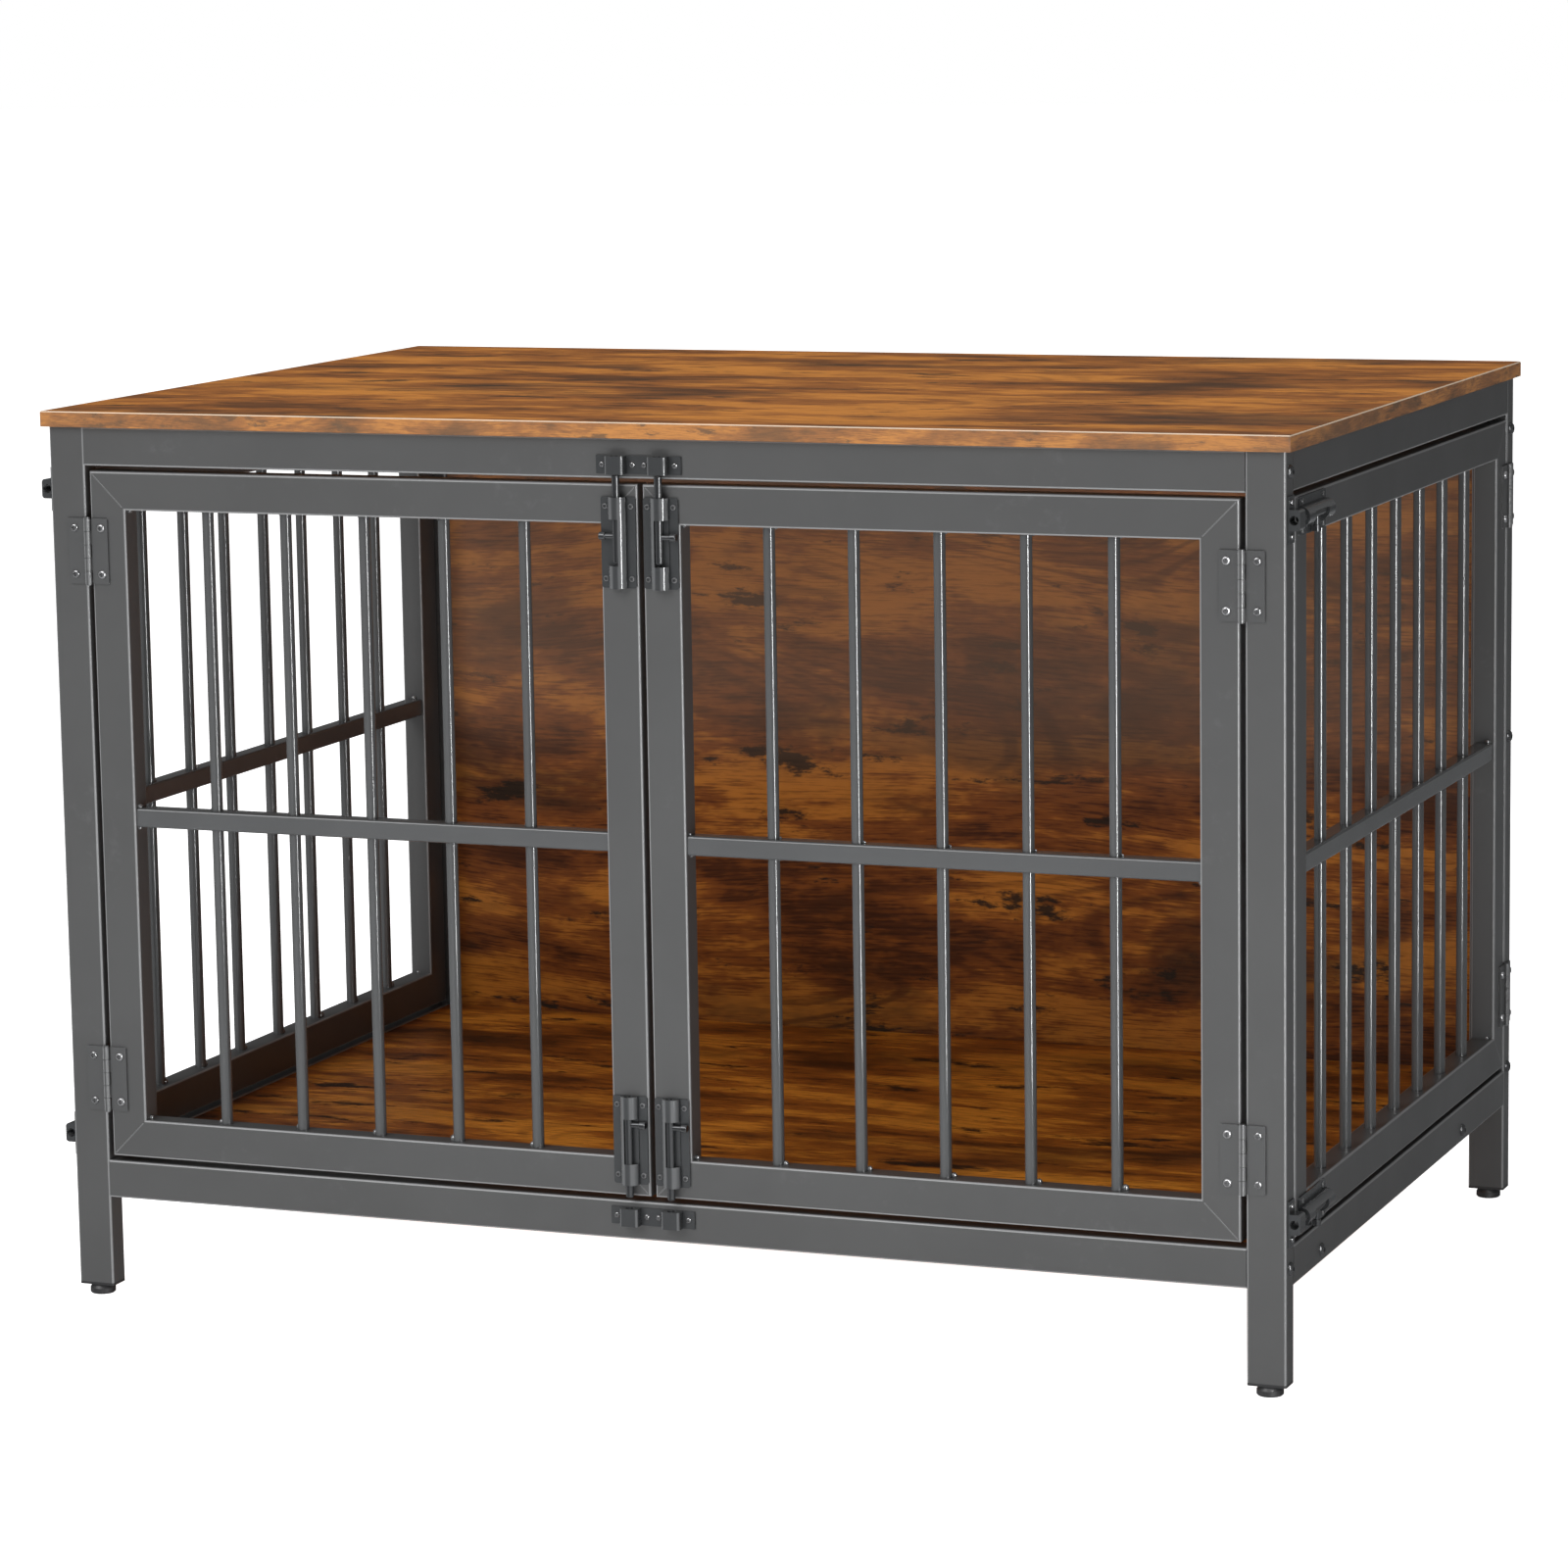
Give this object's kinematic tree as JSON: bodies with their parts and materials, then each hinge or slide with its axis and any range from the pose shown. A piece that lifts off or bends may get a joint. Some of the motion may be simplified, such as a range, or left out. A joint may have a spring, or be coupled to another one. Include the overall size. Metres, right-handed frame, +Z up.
{
  "type": "furniture dog crate",
  "caption": "Furniture-style dog crate: steel tube frame with a wood top, back and floor, barred doors at the front and on both sides, and barrel bolts.",
  "frame": {"origin": "on the floor, under the centre of the crate", "axes": "+X to the crate's right along its length, +Y to its back, +Z up; the two front doors face -Y"},
  "size_m": [1.0092, 0.6846, 0.7],
  "materials": {
    "steel_tube": "dark grey powder coat, satin",
    "hinge_steel": "dark grey coated butt hinges, satin",
    "latch_steel": "dark grey coated barrel bolt bodies and keepers, satin",
    "bolt_rod": "dark grey coated rods and knobs, worn shiny",
    "zinc_screws": "dark zinc plated cross-head screws",
    "black_bolts": "black oxide socket button-head bolts",
    "tabletop_board": "rustic brown wood-grain board, satin",
    "back_board": "rustic brown wood-grain board, satin",
    "floor_board": "rustic brown wood-grain board, satin",
    "black_plastic": "matt black moulded plastic"
  },
  "bodies": {
    "crate_frame": {"front_left_post": "steel_tube", "front_right_post": "steel_tube", "back_left_post": "steel_tube", "back_right_post": "steel_tube", "front_top_rail": "steel_tube", "front_bottom_rail": "steel_tube", "left_side_rails": "steel_tube", "right_side_rails": "steel_tube", "floor_crossbars": "steel_tube", "tabletop": "tabletop_board", "back_panel": "back_board", "floor_board": "floor_board", "leg_plugs": "black_plastic", "threaded_plugs": "black_plastic", "frame_bolts": "black_bolts", "tabletop_screws": "zinc_screws", "frame_screws": "zinc_screws", "hinge_frame_leaves": "hinge_steel", "hinge_pins": "hinge_steel", "bolt_keepers": "latch_steel"},
    "left_front_door": {"left_front_door_frame": "steel_tube", "left_front_door_grille": "steel_tube", "left_front_door_hinge_leaves": "hinge_steel", "left_front_door_bolt_housings": "latch_steel", "left_front_door_screws": "zinc_screws"},
    "left_front_upper_bolt": {"left_front_upper_bolt_rod": "bolt_rod"},
    "left_front_upper_bolt_knob": {"left_front_upper_bolt_knob": "bolt_rod"},
    "left_front_lower_bolt": {"left_front_lower_bolt_rod": "bolt_rod"},
    "left_front_lower_bolt_knob": {"left_front_lower_bolt_knob": "bolt_rod"},
    "right_front_door": {"right_front_door_frame": "steel_tube", "right_front_door_grille": "steel_tube", "right_front_door_hinge_leaves": "hinge_steel", "right_front_door_bolt_housings": "latch_steel", "right_front_door_screws": "zinc_screws"},
    "right_front_upper_bolt": {"right_front_upper_bolt_rod": "bolt_rod"},
    "right_front_upper_bolt_knob": {"right_front_upper_bolt_knob": "bolt_rod"},
    "right_front_lower_bolt": {"right_front_lower_bolt_rod": "bolt_rod"},
    "right_front_lower_bolt_knob": {"right_front_lower_bolt_knob": "bolt_rod"},
    "right_side_door": {"right_side_door_frame": "steel_tube", "right_side_door_grille": "steel_tube", "right_side_door_hinge_leaves": "hinge_steel", "right_side_door_bolt_housings": "latch_steel", "right_side_door_screws": "zinc_screws"},
    "right_side_upper_bolt": {"right_side_upper_bolt_rod": "bolt_rod"},
    "right_side_upper_bolt_knob": {"right_side_upper_bolt_knob": "bolt_rod"},
    "right_side_lower_bolt": {"right_side_lower_bolt_rod": "bolt_rod"},
    "right_side_lower_bolt_knob": {"right_side_lower_bolt_knob": "bolt_rod"},
    "left_side_door": {"left_side_door_frame": "steel_tube", "left_side_door_grille": "steel_tube", "left_side_door_hinge_leaves": "hinge_steel", "left_side_door_bolt_housings": "latch_steel", "left_side_door_screws": "zinc_screws"},
    "left_side_upper_bolt": {"left_side_upper_bolt_rod": "bolt_rod"},
    "left_side_upper_bolt_knob": {"left_side_upper_bolt_knob": "bolt_rod"},
    "left_side_lower_bolt": {"left_side_lower_bolt_rod": "bolt_rod"},
    "left_side_lower_bolt_knob": {"left_side_lower_bolt_knob": "bolt_rod"},
    "front_left_levelling_foot": {"front_left_levelling_foot": "black_plastic"},
    "front_right_levelling_foot": {"front_right_levelling_foot": "black_plastic"},
    "back_left_levelling_foot": {"back_left_levelling_foot": "black_plastic"},
    "back_right_levelling_foot": {"back_right_levelling_foot": "black_plastic"}
  },
  "joints": [
    {"name": "left_front_door_swing", "type": "hinge", "parent": "crate_frame", "child": "left_front_door", "pos_m": [-0.463, -0.3374, 0.384], "axis": [0, 0, -1], "range_deg": [0, 160]},
    {"name": "left_front_upper_bolt_slide", "type": "slide", "parent": "left_front_door", "child": "left_front_upper_bolt", "axis": [0, 0, 1], "range_m": [-0.016, 0.01]},
    {"name": "left_front_upper_bolt_knob_turn", "type": "hinge", "parent": "left_front_upper_bolt", "child": "left_front_upper_bolt_knob", "pos_m": [-0.017, -0.34, 0.6155], "axis": [0, 0, 1], "range_deg": [0, 80]},
    {"name": "left_front_lower_bolt_slide", "type": "slide", "parent": "left_front_door", "child": "left_front_lower_bolt", "axis": [0, 0, -1], "range_m": [0, 0.02]},
    {"name": "left_front_lower_bolt_knob_turn", "type": "hinge", "parent": "left_front_lower_bolt", "child": "left_front_lower_bolt_knob", "pos_m": [-0.017, -0.34, 0.17], "axis": [0, 0, -1], "range_deg": [0, 80]},
    {"name": "right_front_door_swing", "type": "hinge", "parent": "crate_frame", "child": "right_front_door", "pos_m": [0.463, -0.3374, 0.384], "axis": [0, 0, 1], "range_deg": [0, 160]},
    {"name": "right_front_upper_bolt_slide", "type": "slide", "parent": "right_front_door", "child": "right_front_upper_bolt", "axis": [0, 0, 1], "range_m": [-0.016, 0.01]},
    {"name": "right_front_upper_bolt_knob_turn", "type": "hinge", "parent": "right_front_upper_bolt", "child": "right_front_upper_bolt_knob", "pos_m": [0.017, -0.34, 0.6155], "axis": [0, 0, -1], "range_deg": [0, 80]},
    {"name": "right_front_lower_bolt_slide", "type": "slide", "parent": "right_front_door", "child": "right_front_lower_bolt", "axis": [0, 0, -1], "range_m": [0, 0.02]},
    {"name": "right_front_lower_bolt_knob_turn", "type": "hinge", "parent": "right_front_lower_bolt", "child": "right_front_lower_bolt_knob", "pos_m": [0.017, -0.34, 0.17], "axis": [0, 0, -1], "range_deg": [0, 80]},
    {"name": "right_side_door_swing", "type": "hinge", "parent": "crate_frame", "child": "right_side_door", "pos_m": [0.4974, 0.313, 0.384], "axis": [0, 0, 1], "range_deg": [0, 160]},
    {"name": "right_side_upper_bolt_slide", "type": "slide", "parent": "right_side_door", "child": "right_side_upper_bolt", "axis": [0, -1, 0], "range_m": [-0.013, 0.01]},
    {"name": "right_side_upper_bolt_knob_turn", "type": "hinge", "parent": "right_side_upper_bolt", "child": "right_side_upper_bolt_knob", "pos_m": [0.5, -0.2723, 0.639], "axis": [0, -1, 0], "range_deg": [0, 80]},
    {"name": "right_side_lower_bolt_slide", "type": "slide", "parent": "right_side_door", "child": "right_side_lower_bolt", "axis": [0, -1, 0], "range_m": [-0.013, 0.01]},
    {"name": "right_side_lower_bolt_knob_turn", "type": "hinge", "parent": "right_side_lower_bolt", "child": "right_side_lower_bolt_knob", "pos_m": [0.5, -0.2723, 0.129], "axis": [0, -1, 0], "range_deg": [0, 80]},
    {"name": "left_side_door_swing", "type": "hinge", "parent": "crate_frame", "child": "left_side_door", "pos_m": [-0.4974, 0.313, 0.384], "axis": [0, 0, -1], "range_deg": [0, 160]},
    {"name": "left_side_upper_bolt_slide", "type": "slide", "parent": "left_side_door", "child": "left_side_upper_bolt", "axis": [0, -1, 0], "range_m": [-0.013, 0.01]},
    {"name": "left_side_upper_bolt_knob_turn", "type": "hinge", "parent": "left_side_upper_bolt", "child": "left_side_upper_bolt_knob", "pos_m": [-0.5, -0.2723, 0.639], "axis": [0, 1, 0], "range_deg": [0, 80]},
    {"name": "left_side_lower_bolt_slide", "type": "slide", "parent": "left_side_door", "child": "left_side_lower_bolt", "axis": [0, -1, 0], "range_m": [-0.013, 0.01]},
    {"name": "left_side_lower_bolt_knob_turn", "type": "hinge", "parent": "left_side_lower_bolt", "child": "left_side_lower_bolt_knob", "pos_m": [-0.5, -0.2723, 0.129], "axis": [0, 1, 0], "range_deg": [0, 80]},
    {"name": "front_left_levelling_foot_travel", "type": "slide", "parent": "crate_frame", "child": "front_left_levelling_foot", "axis": [0, 0, -1], "range_m": [0, 0.008]},
    {"name": "front_right_levelling_foot_travel", "type": "slide", "parent": "crate_frame", "child": "front_right_levelling_foot", "axis": [0, 0, -1], "range_m": [0, 0.008]},
    {"name": "back_left_levelling_foot_travel", "type": "slide", "parent": "crate_frame", "child": "back_left_levelling_foot", "axis": [0, 0, -1], "range_m": [0, 0.008]},
    {"name": "back_right_levelling_foot_travel", "type": "slide", "parent": "crate_frame", "child": "back_right_levelling_foot", "axis": [0, 0, -1], "range_m": [0, 0.008]}
  ]
}
